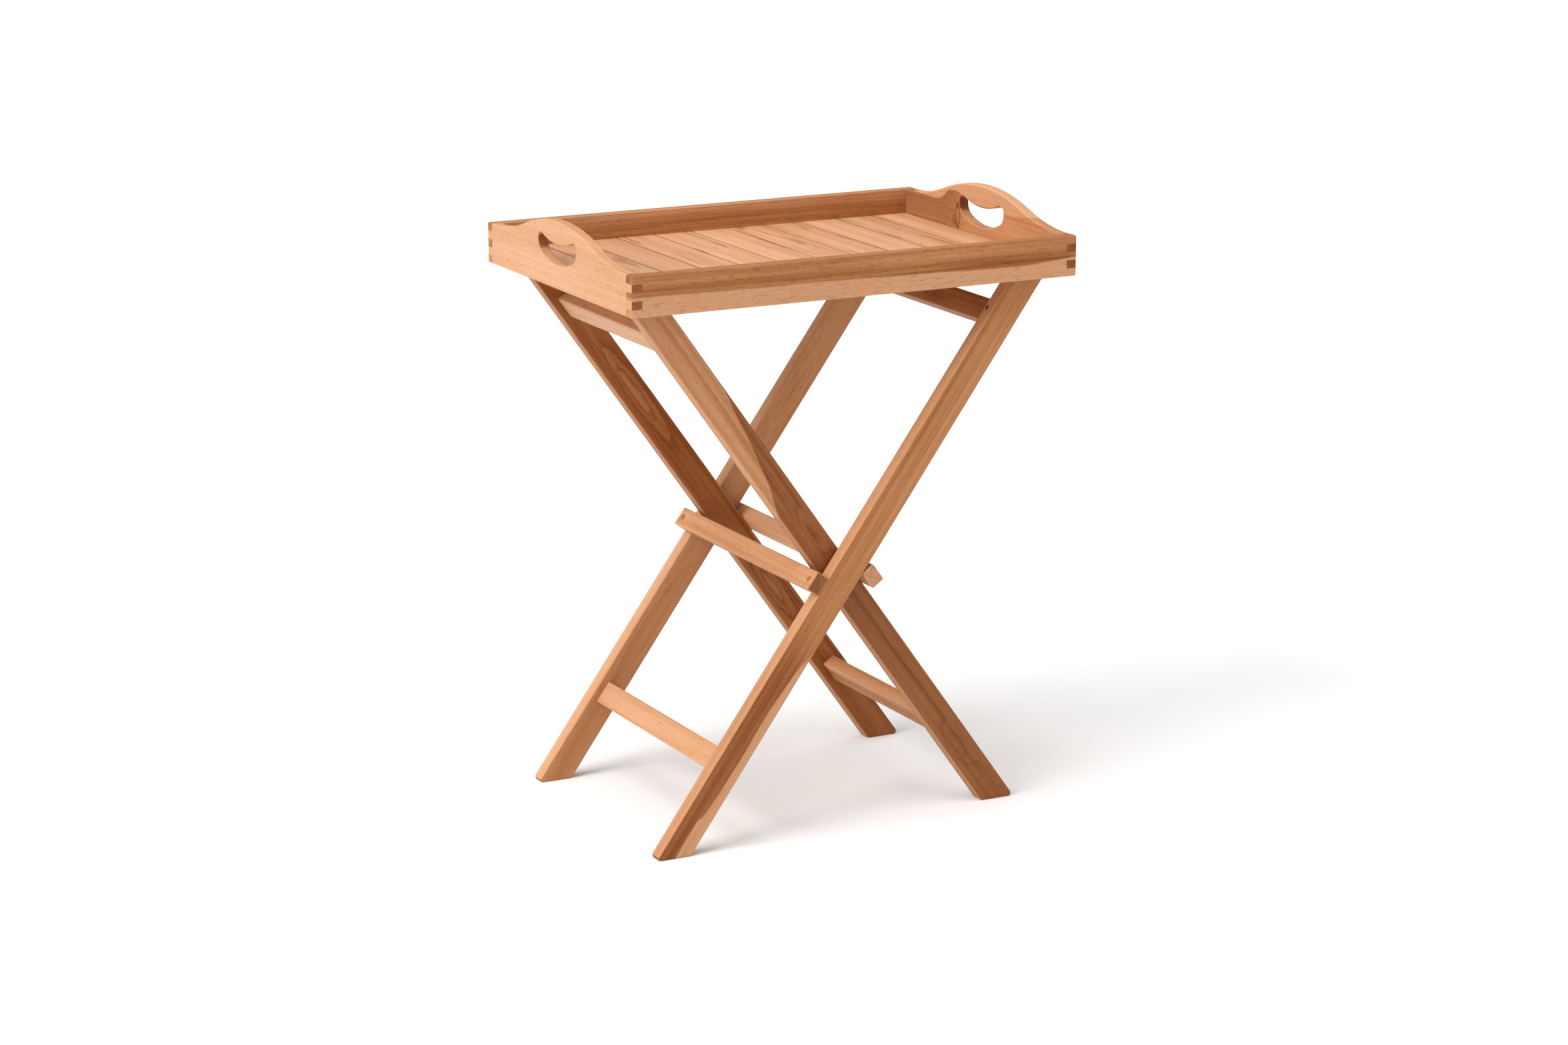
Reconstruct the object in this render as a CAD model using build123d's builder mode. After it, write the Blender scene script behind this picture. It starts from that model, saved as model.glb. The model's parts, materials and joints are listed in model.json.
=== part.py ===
"""Butler's tray table: a rimmed wooden tray on a folding cross-legged stand.

Millimetres, +Z up.  The origin is on the floor under the middle of the tray,
+X runs along the tray's long side and +Y away from its front.
The stand is two frames of flat legs pivoted on one axis along Y.  The outer
frame's legs lean to +X as they rise, the inner frame's to -X.
"""
from build123d import *
from math import asin, atan2, cos, degrees, hypot, sin, sqrt
import os

# ---- tray ------------------------------------------------------------------
tray_length = 600.0          # outside, along X
tray_depth = 412.0           # outside, along Y
tray_bottom = 672.0          # height of the rim's lower edge
rim_height = 50.0
board_t = 14.0               # thickness of the four rim boards
rim_drop = 9.0               # rim below the underside of the floor slats
finger_count = 5             # equal fingers up each corner
corner_r = 2.0               # outer upright corners
board_arris = 1.5
slat_count = 11
slat_t = 9.5
slat_gap = 0.6
slat_bevel = 0.8
groove_depth = 5.0           # slat ends let into the long boards
groove_fit = 0.2
batten_w = 20.0
batten_end_gap = 2.0
batten_leg_gap = 1.5         # batten to the inner legs it drops between

# ---- handles in the end boards ----------------------------------------------
crest_height = 32.0          # top of the hump above the rim
crest_shoulder = 2.0         # level top left between the hump and the long boards
crest_arris = 2.5
grip_half = 54.0             # finger hole, half its length
grip_bottom = 29.0           # lowest point of the hole above the rim's lower edge
grip_bump = 53.5             # lowest point of the hole's upper edge, likewise
grip_floor_r = 110.0         # radius of the hole's lower edge
grip_bump_r = 120.0          # radius of the bump in its upper edge
grip_lobe_r = 8.0            # the lobes either side of the bump
grip_heel_r = 16.5           # its lower corners
grip_arris = 2.0

# ---- stand -------------------------------------------------------------------
pivot_height = 324.0
pivot_x = -4.0               # the tray sits this much off the middle of the stand
leg_w = 38.5                 # across the wide face
leg_t = 20.0                 # along Y
leg_arris = 2.5
leg_corner_r = 4.0           # rounded corners of feet and tops
leg_gap = 4.0                # between an outer and an inner leg
tray_side_play = 10.0        # rim board to outer leg, along Y
tray_end_play = 0.8          # end board to inner leg top, along X
rail_w = 30.0                # along the leg
rail_t = 18.0
rail_arris = 2.0
lower_rail_up = 129.0        # rail centre from the foot, along the leg
top_rail_down = 70.0         # rail centre from the leg's top, along the leg
tenon_w = 20.0
tenon_t = 9.0
tenon_length = 12.0
tenon_fit = 0.1
tenon_end_gap = 0.5
bar_w = 25.0                 # stop bar, along the leg
bar_t = 18.0
bar_arris = 2.0
bar_seat_gap = 0.25          # stop bar to the legs that come to rest on it

# ---- fastenings ----------------------------------------------------------------
dowel_r = 3.0                # dowels that lock the top rails' tenons
dowel_length = 28.0
dowel_sunk = 0.5
wood_fit = 0.05              # radial, dowels, plugs and screws in their holes
plug_r = 4.0
plug_depth = 5.0
plug_length = 4.8
bar_screw_length = 30.0
bar_screw_r = 2.0
bar_screw_head_r = 3.7
batten_screw_length = 14.0
batten_screw_r = 1.6
batten_screw_head_r = 3.2
recess_w = 0.8               # cross recess in a screw head
pivot_r = 4.0                # pivot pin, blind in both legs
pivot_fit = 0.05             # radial, pin in the inner leg's bush and the spacer
pin_seat = 14.0              # pin's length in the outer leg
pin_end_gap = 1.0            # pin short of the bush's far end
bush_r = 6.0                 # bush in the inner leg
bush_length = 14.0
pivot_hole_gap = 0.5         # blind holes deeper than what they hold
spacer_r = 12.0
spacer_play = 0.2

# ---- derived -------------------------------------------------------------------
tray_top = tray_bottom + rim_height
floor_under = tray_bottom + rim_drop
inner_length = tray_length - 2 * board_t
inner_depth = tray_depth - 2 * board_t
crest_half = inner_depth / 2 - crest_shoulder
slat_pitch = inner_length / slat_count
finger_h = rim_height / finger_count
outer_half = tray_depth / 2 - board_t - tray_side_play       # outer legs' outer faces
outer_leg_y = outer_half - leg_t / 2
inner_leg_y = outer_leg_y - leg_t - leg_gap
half_w = leg_w / 2
rise = floor_under - pivot_height
reach = tray_length / 2 - board_t - tray_end_play + pivot_x
leg_angle = atan2(rise, reach) + asin(half_w / hypot(rise, reach))
lower_rail_u = lower_rail_up - pivot_height / sin(leg_angle)
top_rail_u = rise / sin(leg_angle) - top_rail_down
batten_y = inner_leg_y - leg_t / 2 - batten_leg_gap - batten_w / 2
bush_face_y = inner_leg_y + leg_t / 2                      # inner legs' outer faces
pin_face_y = outer_leg_y - leg_t / 2                       # outer legs' inner faces

# Distance below the pivot at which a stop bar's rounded edge meets the crossing leg.
stop_u = bar_arris - (
    (half_w + bar_arris) * cos(2 * leg_angle) + bar_arris + half_w + bar_seat_gap
) / sin(2 * leg_angle)
bar_u = stop_u - bar_w / 2

FRONT, BACK = -1, 1          # sides along Y
OUTER, INNER = 1, -1         # the way a frame leans as it rises, along X
DOWN = (Align.CENTER, Align.CENTER, Align.MAX)   # a solid hanging below its plane

os.makedirs("parts", exist_ok=True)


def save(piece, label):
    """Label a finished piece and write it under the same name."""
    piece.part.label = label
    export_step(piece.part, f"parts/{label}.step")


def leg_plane(lean, y):
    """Plane across Y with its origin on the pivot axis, x up the leg and y to -X."""
    return Plane(
        origin=(pivot_x, y, pivot_height),
        x_dir=(lean * cos(leg_angle), 0, sin(leg_angle)),
        z_dir=(0, -1, 0),
    )


def edge_plane(lean, u, v, y):
    """Plane on a face parallel to the leg's narrow edges, facing away from the leg."""
    plane = leg_plane(lean, y)
    outward = plane.y_dir if v > 0 else -plane.y_dir
    return Plane(origin=plane.from_local_coords((u, v, 0)), x_dir=(0, 1, 0), z_dir=outward)


def cut_u(lean, v, z):
    """Distance up the leg at which the edge at v reaches height z."""
    return (z - pivot_height - lean * v * cos(leg_angle)) / sin(leg_angle)


def pivot_plane(side, y):
    """Plane across the pivot axis at distance y from the middle, facing that side."""
    return Plane((pivot_x, side * y, pivot_height), x_dir=(1, 0, 0), z_dir=(0, side, 0))


def side_edges(part):
    """Every edge of the two faces at the ends of Y."""
    faces = part.faces().sort_by(Axis.Y)
    return faces[0].edges() + faces[-1].edges()


def drill(plane, radius, depth):
    """Take a round hole out of the open part, from the plane inwards."""
    with Locations(plane):
        Cylinder(radius, depth, align=DOWN, mode=Mode.SUBTRACT)


def screw(plane, radius, head_r, length):
    """Add a countersunk screw to the open part, its head level with the plane."""
    with Locations(plane):
        Cylinder(radius, length, align=DOWN)
        Cone(radius, head_r, head_r - radius, align=DOWN)
        for turn in (0, 90):
            Box(head_r, recess_w, radius, rotation=(0, 0, turn), align=DOWN, mode=Mode.SUBTRACT)


def screw_hole(plane, radius, head_r, length):
    """Take a countersunk screw's hole out of the open part."""
    with Locations(plane):
        CounterSinkHole(radius + wood_fit, head_r + wood_fit, length, 90)


# ---- legs ------------------------------------------------------------------------
# side of the narrow edge, in the leg plane, that carries the stop bar and the dowels
BAR_SIDE = {OUTER: 1, INNER: -1}
FRAME_NAME = {OUTER: "outer", INNER: "inner"}
SIDE_NAME = {FRONT: "front", BACK: "back"}
LEG_Y = {OUTER: outer_leg_y, INNER: inner_leg_y}


def bar_face_plane(lean, side):
    """Plane on a stop bar's broad outer face over one leg's centre."""
    v = BAR_SIDE[lean] * (half_w + bar_t)
    return edge_plane(lean, bar_u, v, side * LEG_Y[lean])


def dowel_plane(lean, side):
    """Plane on a leg's narrow edge over the middle of the top rail's tenon."""
    y = side * (LEG_Y[lean] - leg_t / 2 + tenon_length / 2)
    return edge_plane(lean, top_rail_u, BAR_SIDE[lean] * half_w, y)


def make_leg(lean, side):
    """One leg with its mortises, dowel hole, bar screw hole and pivot hole."""
    centre_y = side * LEG_Y[lean]
    inner_y = side * (LEG_Y[lean] - leg_t / 2)
    corners = [
        (cut_u(lean, -half_w, 0), -half_w),
        (cut_u(lean, -half_w, floor_under), -half_w),
        (cut_u(lean, half_w, floor_under), half_w),
        (cut_u(lean, half_w, 0), half_w),
    ]
    with BuildPart() as leg:
        with BuildSketch(leg_plane(lean, centre_y)) as outline:
            Polygon(*corners, align=None)
            fillet(outline.vertices(), leg_corner_r)
        extrude(amount=leg_t / 2, both=True)
        fillet(side_edges(leg), leg_arris)
        with BuildSketch(leg_plane(lean, inner_y)):
            with Locations((lower_rail_u, 0), (top_rail_u, 0)):
                Rectangle(tenon_w + 2 * tenon_fit, tenon_t + 2 * tenon_fit)
        extrude(amount=-side * tenon_length, mode=Mode.SUBTRACT)
        drill(dowel_plane(lean, side), dowel_r + wood_fit, dowel_length + dowel_sunk)
        drill(bar_face_plane(lean, side), bar_screw_r + wood_fit, plug_depth + bar_screw_length)
        if lean == OUTER:
            drill(pivot_plane(-side, -pin_face_y), pivot_r + wood_fit, pin_seat + pivot_hole_gap)
        else:
            drill(pivot_plane(side, bush_face_y), bush_r + wood_fit, bush_length + pivot_hole_gap)
    return leg


def make_rail(lean, u, with_dowels):
    """A rail between a frame's two legs, with a tenon at each end."""
    half_length = LEG_Y[lean] - leg_t / 2
    with BuildPart() as rail:
        with BuildSketch(leg_plane(lean, 0)):
            with Locations((u, 0)):
                Rectangle(rail_w, rail_t)
        extrude(amount=half_length, both=True)
        fillet(rail.edges().filter_by(Axis.Y), rail_arris)
        with BuildSketch(leg_plane(lean, 0)):
            with Locations((u, 0)):
                Rectangle(tenon_w, tenon_t)
        extrude(amount=half_length + tenon_length - tenon_end_gap, both=True)
        if with_dowels:
            for side in SIDE_NAME:
                drill(dowel_plane(lean, side), dowel_r + wood_fit, dowel_length + dowel_sunk)
    return rail


def make_stop_bar(lean):
    """The bar across a frame's narrow edges that the other frame comes to rest on."""
    with BuildPart() as bar:
        with BuildSketch(leg_plane(lean, 0)):
            with Locations((bar_u, BAR_SIDE[lean] * (half_w + bar_t / 2))):
                Rectangle(bar_w, bar_t)
        extrude(amount=outer_half, both=True)
        fillet(bar.edges().filter_by(Axis.Y), bar_arris)
        chamfer(side_edges(bar), bar_arris / 2)
        for side in SIDE_NAME:
            face = bar_face_plane(lean, side)
            drill(face, plug_r, plug_depth)
            screw_hole(face.offset(-plug_depth), bar_screw_r, bar_screw_head_r, bar_t)
    return bar


def make_bar_screws(lean):
    """The two screws that hold a stop bar."""
    with BuildPart() as screws:
        for side in SIDE_NAME:
            seat = bar_face_plane(lean, side).offset(-plug_depth)
            screw(seat, bar_screw_r, bar_screw_head_r, bar_screw_length)
    return screws


def make_bar_plugs(lean):
    """The wooden plugs over a stop bar's screws."""
    with BuildPart() as plugs:
        for side in SIDE_NAME:
            with BuildSketch(bar_face_plane(lean, side)):
                Circle(plug_r - wood_fit)
            extrude(amount=-plug_length)
    return plugs


def make_dowels(lean):
    """The two dowels that lock a top rail's tenons."""
    with BuildPart() as dowels:
        for side in SIDE_NAME:
            with BuildSketch(dowel_plane(lean, side).offset(-dowel_sunk)):
                Circle(dowel_r)
            extrude(amount=-dowel_length)
    return dowels


for lean, frame in FRAME_NAME.items():
    for side, side_name in SIDE_NAME.items():
        save(make_leg(lean, side), f"{frame}_leg_{side_name}")
    save(make_rail(lean, top_rail_u, True), f"{frame}_top_rail")
    save(make_rail(lean, lower_rail_u, False), f"{frame}_lower_rail")
    save(make_stop_bar(lean), f"{frame}_stop_bar")
    save(make_bar_screws(lean), f"{frame}_stop_bar_screws")
    save(make_bar_plugs(lean), f"{frame}_stop_bar_plugs")
    save(make_dowels(lean), f"{frame}_rail_dowels")


# ---- pivots ----------------------------------------------------------------------
for side, side_name in SIDE_NAME.items():
    with BuildPart() as pin:
        with BuildSketch(pivot_plane(side, bush_face_y - bush_length + pin_end_gap)):
            Circle(pivot_r)
        extrude(amount=bush_length - pin_end_gap + leg_gap + pin_seat)
    save(pin, f"pivot_pin_{side_name}")

with BuildPart() as bushes:
    for side in SIDE_NAME:
        with BuildSketch(pivot_plane(side, bush_face_y - bush_length)):
            Circle(bush_r)
            Circle(pivot_r + pivot_fit, mode=Mode.SUBTRACT)
        extrude(amount=bush_length)
save(bushes, "pivot_bushes")

with BuildPart() as spacers:
    for side in SIDE_NAME:
        with BuildSketch(pivot_plane(side, bush_face_y)):
            Circle(spacer_r)
            Circle(pivot_r + pivot_fit, mode=Mode.SUBTRACT)
        extrude(amount=leg_gap - spacer_play)
save(spacers, "pivot_spacers")


# ---- tray rim ----------------------------------------------------------------------
def finger_z(index):
    """Height of the middle of one finger, counted from the rim's lower edge."""
    return tray_bottom + (index + 0.5) * finger_h


def make_long_board(side):
    """Front or back board: fingers at the even places, a groove for the slats' ends."""
    centre_y = side * (tray_depth - board_t) / 2
    with BuildPart() as board:
        with BuildSketch(Plane.XZ.offset(-centre_y)):
            with Locations((0, tray_bottom + rim_height / 2)):
                Rectangle(tray_length, rim_height)
            for index in range(1, finger_count, 2):
                for end in (-1, 1):
                    with Locations((end * (tray_length - board_t) / 2, finger_z(index))):
                        Rectangle(board_t, finger_h, mode=Mode.SUBTRACT)
        extrude(amount=board_t / 2, both=True)
        fillet(board.edges().filter_by(Axis.Z).filter_by(is_tray_corner), corner_r)
        long_edges = board.edges().filter_by(Axis.X).filter_by(lambda e: e.length > inner_length)
        fillet(long_edges, board_arris)
        with BuildSketch(Plane.XZ.offset(-side * inner_depth / 2)):
            with Locations((0, floor_under + (slat_t + groove_fit) / 2)):
                Rectangle(inner_length, slat_t + groove_fit)
        extrude(amount=-side * groove_depth, mode=Mode.SUBTRACT)
    return board


def is_tray_corner(edge):
    """Whether an upright edge stands at an outer corner of the tray."""
    at = edge.center()
    return abs(at.X) > tray_length / 2 - board_t / 2 and abs(at.Y) > tray_depth / 2 - board_t / 2


def is_board_outline(edge):
    """Whether an edge of an end board follows its outline, not its thickness."""
    return abs(edge.bounding_box().size.X) < 1e-6


def sagitta(radius, half_chord):
    """Depth of an arc over a chord."""
    return radius - sqrt(radius**2 - half_chord**2)


def make_handle_board(end):
    """Left or right end board: a humped top, a finger hole, fingers at the odd places."""
    centre_x = end * (tray_length - board_t) / 2
    half = tray_depth / 2
    bump_z = tray_bottom + grip_bump
    grip_z = tray_bottom + grip_bottom
    lobe_z = bump_z + sagitta(grip_bump_r, grip_half)
    heel_z = grip_z + sagitta(grip_floor_r, grip_half)
    with BuildPart() as board:
        with BuildSketch(Plane.YZ.offset(centre_x)):
            with BuildLine():
                Polyline(
                    (crest_half, tray_top), (half, tray_top), (half, tray_bottom),
                    (-half, tray_bottom), (-half, tray_top), (-crest_half, tray_top),
                )
                for way in (-1, 1):
                    TangentArc(
                        (way * crest_half, tray_top),
                        (way * crest_half / 2, tray_top + crest_height / 2),
                        tangent=(-way, 0),
                    )
                ThreePointArc(
                    (-crest_half / 2, tray_top + crest_height / 2),
                    (0, tray_top + crest_height),
                    (crest_half / 2, tray_top + crest_height / 2),
                )
            make_face()
            for index in range(0, finger_count, 2):
                for way in (-1, 1):
                    with Locations((way * (tray_depth - board_t) / 2, finger_z(index))):
                        Rectangle(board_t, finger_h, mode=Mode.SUBTRACT)
        extrude(amount=board_t / 2, both=True)
        outlines = board.edges().filter_by(is_board_outline)
        crest = outlines.filter_by(lambda e: e.center().Z > tray_top - board_arris)
        fillet(crest, crest_arris)
        bottom = board.edges().filter_by(Axis.Y).filter_by(lambda e: e.length > inner_depth - 1)
        fillet(bottom, board_arris)
        fillet(board.edges().filter_by(Axis.Z).filter_by(is_tray_corner), corner_r)
        with BuildSketch(Plane.YZ.offset(centre_x)) as grip:
            with BuildLine():
                ThreePointArc((-grip_half, lobe_z), (0, bump_z), (grip_half, lobe_z))
                Line((grip_half, lobe_z), (grip_half, heel_z))
                ThreePointArc((grip_half, heel_z), (0, grip_z), (-grip_half, heel_z))
                Line((-grip_half, heel_z), (-grip_half, lobe_z))
            make_face()
            fillet(grip.vertices().group_by(Axis.Y)[-1], grip_lobe_r)
            fillet(grip.vertices().group_by(Axis.Y)[0], grip_heel_r)
        before = board.edges()
        extrude(amount=board_t / 2, both=True, mode=Mode.SUBTRACT)
        rim_edges = (board.edges() - before).filter_by(is_board_outline)
        fillet(rim_edges, grip_arris)
    return board


save(make_long_board(FRONT), "tray_front_board")
save(make_long_board(BACK), "tray_back_board")
save(make_handle_board(-1), "tray_left_handle_board")
save(make_handle_board(1), "tray_right_handle_board")


# ---- tray floor ----------------------------------------------------------------------
def slat_x(index):
    """Middle of one slat, counted from the left."""
    return (index - (slat_count - 1) / 2) * slat_pitch


def batten_screw_plane(index, side):
    """Plane on a batten's underside where it is screwed to one slat."""
    return Plane((slat_x(index), side * batten_y, tray_bottom), x_dir=(1, 0, 0), z_dir=(0, 0, -1))


for index in range(slat_count):
    with BuildPart() as slat:
        with BuildSketch(Plane.XY.offset(floor_under)):
            with Locations((slat_x(index), 0)):
                Rectangle(slat_pitch - slat_gap, inner_depth + 2 * (groove_depth - groove_fit))
        extrude(amount=slat_t)
        chamfer(slat.faces().sort_by(Axis.Z)[-1].edges().filter_by(Axis.Y), slat_bevel)
        for side in SIDE_NAME:
            drill(batten_screw_plane(index, side), batten_screw_r + wood_fit, batten_screw_length)
    save(slat, f"tray_slat_{index + 1:02d}")

for side, side_name in SIDE_NAME.items():
    with BuildPart() as batten:
        with BuildSketch(Plane.XY.offset(tray_bottom)):
            with Locations((0, side * batten_y)):
                Rectangle(inner_length - 2 * batten_end_gap, batten_w)
        extrude(amount=rim_drop)
        chamfer(batten.faces().sort_by(Axis.Z)[0].edges(), slat_bevel)
        for index in range(slat_count):
            plane = batten_screw_plane(index, side)
            screw_hole(plane, batten_screw_r, batten_screw_head_r, rim_drop)
    save(batten, f"tray_batten_{side_name}")

with BuildPart() as batten_screws:
    for side in SIDE_NAME:
        for index in range(slat_count):
            plane = batten_screw_plane(index, side)
            screw(plane, batten_screw_r, batten_screw_head_r, batten_screw_length)
save(batten_screws, "tray_batten_screws")

print(f"leg angle {degrees(leg_angle):.3f} degrees, stop bar {stop_u:.3f} mm up the leg")
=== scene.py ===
"""Folding tray table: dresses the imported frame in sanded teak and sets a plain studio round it."""
import json
import logging
import math
from dataclasses import dataclass, field
from enum import Enum
from functools import cache

import bpy
from mathutils import Euler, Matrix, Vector


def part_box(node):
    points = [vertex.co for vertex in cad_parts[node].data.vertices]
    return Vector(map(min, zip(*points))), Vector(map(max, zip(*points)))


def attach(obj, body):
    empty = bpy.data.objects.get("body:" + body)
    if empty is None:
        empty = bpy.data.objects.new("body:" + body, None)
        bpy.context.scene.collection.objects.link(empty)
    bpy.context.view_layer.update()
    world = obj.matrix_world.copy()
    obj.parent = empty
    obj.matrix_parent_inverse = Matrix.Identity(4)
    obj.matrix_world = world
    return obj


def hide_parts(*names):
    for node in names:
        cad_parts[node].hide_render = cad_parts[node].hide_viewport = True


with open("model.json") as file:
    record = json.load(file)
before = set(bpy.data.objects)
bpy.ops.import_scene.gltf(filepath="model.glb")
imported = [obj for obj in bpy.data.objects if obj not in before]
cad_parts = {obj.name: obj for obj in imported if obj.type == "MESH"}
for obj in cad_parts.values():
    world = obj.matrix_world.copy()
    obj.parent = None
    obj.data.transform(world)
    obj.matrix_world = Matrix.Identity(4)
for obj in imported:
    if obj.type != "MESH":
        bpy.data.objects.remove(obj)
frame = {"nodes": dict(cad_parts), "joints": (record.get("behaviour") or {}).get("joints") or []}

log = logging.getLogger("tray_table")

Colour = tuple[float, float, float]
Triple = tuple[float, float, float]
Material = bpy.types.Material
Node = bpy.types.Node
Socket = bpy.types.NodeSocket
Tree = bpy.types.NodeTree

LEG_ANGLE = math.radians(54.201)     # legs from the floor

NUMBER, PLACE, PAINT = "NodeSocketFloat", "NodeSocketVector", "NodeSocketColor"
WHOLE, SHAPE, MATTER = "NodeSocketInt", "NodeSocketGeometry", "NodeSocketMaterial"

WOOD_SHEEN = 0.16                    # low: the wood is oiled, not varnished
WOOD_RELIEF = 0.0004                 # depth of the grain
WEAR_WIDTH = 0.0022                  # reach of the rubbing in from an arris
WEAR_ROUGHNESS = 0.12
# painted light: the narrow face of each leg toward the key light is painted paler
PAINTED_LIT_FLANK_SKIN = 0.0012                  # how far a pale narrow face wraps onto the wide ones
KNOT_SHADE: Colour = (0.34, 0.25, 0.20)
# painted shade laid along the seams between the slats
SEAM_SHADE: Colour = (0.36, 0.25, 0.17)
METAL_MARKS: Triple = (900.0, 2600.0, 900.0)
METAL_RELIEF = 0.0002
END_DOTS = 1400.0                    # how fine the pores in end grain are
KNOT_GRIT = 160.0                    # how fine a knot's outline strays
NO_ARRIS: Triple = (1.0, 1.0, 1.0)   # half sizes that keep the rubbing off a round piece


class Lean(Enum):
    """The way a frame's legs lean as they rise, as the turn that lays them along X."""

    OUTER = LEG_ANGLE
    INNER = math.pi - LEG_ANGLE


class Run(Enum):
    """The way a piece's grain runs, as the turn that lays it along X."""

    LENGTH = (0.0, 0.0, 0.0)
    DEPTH = (0.0, 0.0, -math.pi / 2)
    OUTER_LEG = (0.0, Lean.OUTER.value, 0.0)
    INNER_LEG = (0.0, Lean.INNER.value, 0.0)
    OUTER_RAIL = (0.0, Lean.OUTER.value, -math.pi / 2)
    INNER_RAIL = (0.0, Lean.INNER.value, -math.pi / 2)
    OUTER_EDGE = (0.0, Lean.OUTER.value - math.pi / 2, 0.0)
    INNER_EDGE = (0.0, Lean.INNER.value - math.pi / 2, 0.0)


class Grain(Enum):
    """How fine each part of the figure is, per metre along and across the grain."""

    DRIFT = (1.9, 11.0)
    STREAK = (1.6, 120.0)
    FIBRE = (9.0, 760.0)
    CLOUD = (5.0, 24.0)
    PORE = (130.0, 1500.0)
    DASH = (62.0, 700.0)
    BORDER = (14.0, 160.0)
    RUBBING = (28.0, 90.0)
    SMEAR = (7.0, 62.0)

    @property
    def scale(self) -> Triple:
        """Gives the scale as a vector, with the grain along X."""
        return (self.value[0], self.value[1], self.value[1])


# ---- wiring of node trees ------------------------------------------------------------


class Wiring:
    """Adds and joins nodes in one node tree."""

    def __init__(self, tree: Tree) -> None:
        """Starts on a tree."""
        self.tree = tree

    def feed(self, socket: Socket, value: object) -> None:
        """Joins a socket to another one, or sets its own value.

        Args:
            socket: the input.
            value: an output socket, a number, a vector or a colour.
        """
        if isinstance(value, Socket):
            self.tree.links.new(value, socket)
        elif socket.type == "RGBA":
            socket.default_value = (*value[:3], 1.0)
        else:
            socket.default_value = value

    def add(self, kind: str, inputs: dict[str | int, object] | None = None, **settings: object) -> Node:
        """Adds a node.

        Args:
            kind: the node's type.
            inputs: values or sockets for its inputs, by name or place.
            settings: the node's own settings.

        Returns:
            The node.
        """
        node = self.tree.nodes.new(kind)
        for name, value in settings.items():
            setattr(node, name, value)
        for key, value in (inputs or {}).items():
            self.feed(node.inputs[key], value)
        return node

    def math(self, operation: str, *values: object, clamp: bool = False) -> Socket:
        """Works out one number with a Math node from its inputs in order."""
        inputs = dict(enumerate(values))
        return self.add("ShaderNodeMath", inputs, operation=operation, use_clamp=clamp).outputs[0]

    def vector(self, operation: str, *values: object) -> Node:
        """Works on vectors with a Vector Math node from its inputs in order."""
        return self.add("ShaderNodeVectorMath", dict(enumerate(values)), operation=operation)

    def scaled(self, value: object, amount: object) -> Socket:
        """Scales a vector evenly."""
        inputs = {0: value, "Scale": amount}
        return self.add("ShaderNodeVectorMath", inputs, operation="SCALE").outputs[0]

    def darken(self, factor: object, colour: object, shade: object) -> Socket:
        """Multiplies a colour by a shade, as far as the factor says."""
        return self.blend(factor, colour, self.blend(1.0, colour, shade, "MULTIPLY"))

    def split(self, value: Socket) -> tuple[Socket, ...]:
        """Takes a vector apart into its three numbers."""
        return tuple(self.add("ShaderNodeSeparateXYZ", {0: value}).outputs)

    def join(self, x: object, y: object, z: object) -> Socket:
        """Puts three numbers together as a vector."""
        return self.add("ShaderNodeCombineXYZ", {0: x, 1: y, 2: z}).outputs[0]

    def step(self, value: object, low: object, high: object) -> Socket:
        """Rises smoothly from 0 to 1 as the value goes from low to high."""
        inputs = {"Value": value, "From Min": low, "From Max": high}
        return self.add("ShaderNodeMapRange", inputs, interpolation_type="SMOOTHSTEP").outputs["Result"]

    def noise(self, place: object, detail: float = 2.0, rough: float = 0.5, twist: float = 0.0) -> Node:
        """Adds a noise texture read at a place that is scaled already."""
        inputs = {"Vector": place, "Detail": detail, "Roughness": rough, "Distortion": twist}
        return self.add("ShaderNodeTexNoise", inputs | {"Scale": 1.0})

    def hum(self, value: object, detail: float = 1.0) -> Socket:
        """Gives a number that wanders between 0 and 1 along a line."""
        inputs = {"W": value, "Scale": 1.0, "Detail": detail}
        return self.add("ShaderNodeTexNoise", inputs, noise_dimensions="1D").outputs[0]

    def blend(self, factor: object, under: object, over: object, mode: str = "MIX") -> Socket:
        """Mixes two colours on the Mix node's colour sockets, as far as the factor says."""
        inputs = {0: factor, 6: under, 7: over}
        return self.add("ShaderNodeMix", inputs, data_type="RGBA", blend_type=mode).outputs[2]


def open_group(
    name: str, kind: str, inputs: list[tuple[str, str, object]], outputs: list[tuple[str, str]]
) -> tuple[Wiring, dict[str, Socket], Node]:
    """Starts a node group with named sockets.

    Args:
        name: the group's name.
        kind: the tree's type.
        inputs: name, socket type and first value of each input.
        outputs: name and socket type of each output.

    Returns:
        The wiring, the inputs by name, and the output node.
    """
    tree = bpy.data.node_groups.new(name, kind)
    for label, socket_type, value in inputs:
        socket = tree.interface.new_socket(label, in_out="INPUT", socket_type=socket_type)
        if value is not None:
            socket.default_value = value
    for label, socket_type in outputs:
        tree.interface.new_socket(label, in_out="OUTPUT", socket_type=socket_type)
    wiring = Wiring(tree)
    entry = wiring.add("NodeGroupInput")
    return wiring, {s.name: s for s in entry.outputs if s.name}, wiring.add("NodeGroupOutput")


def open_material(name: str) -> tuple[Material, Wiring, Node]:
    """Starts a material.

    Args:
        name: its name.

    Returns:
        The material, its wiring, and its shader.
    """
    made = bpy.data.materials.new(name)
    made.use_nodes = True
    return made, Wiring(made.node_tree), made.node_tree.nodes["Principled BSDF"]


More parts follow.
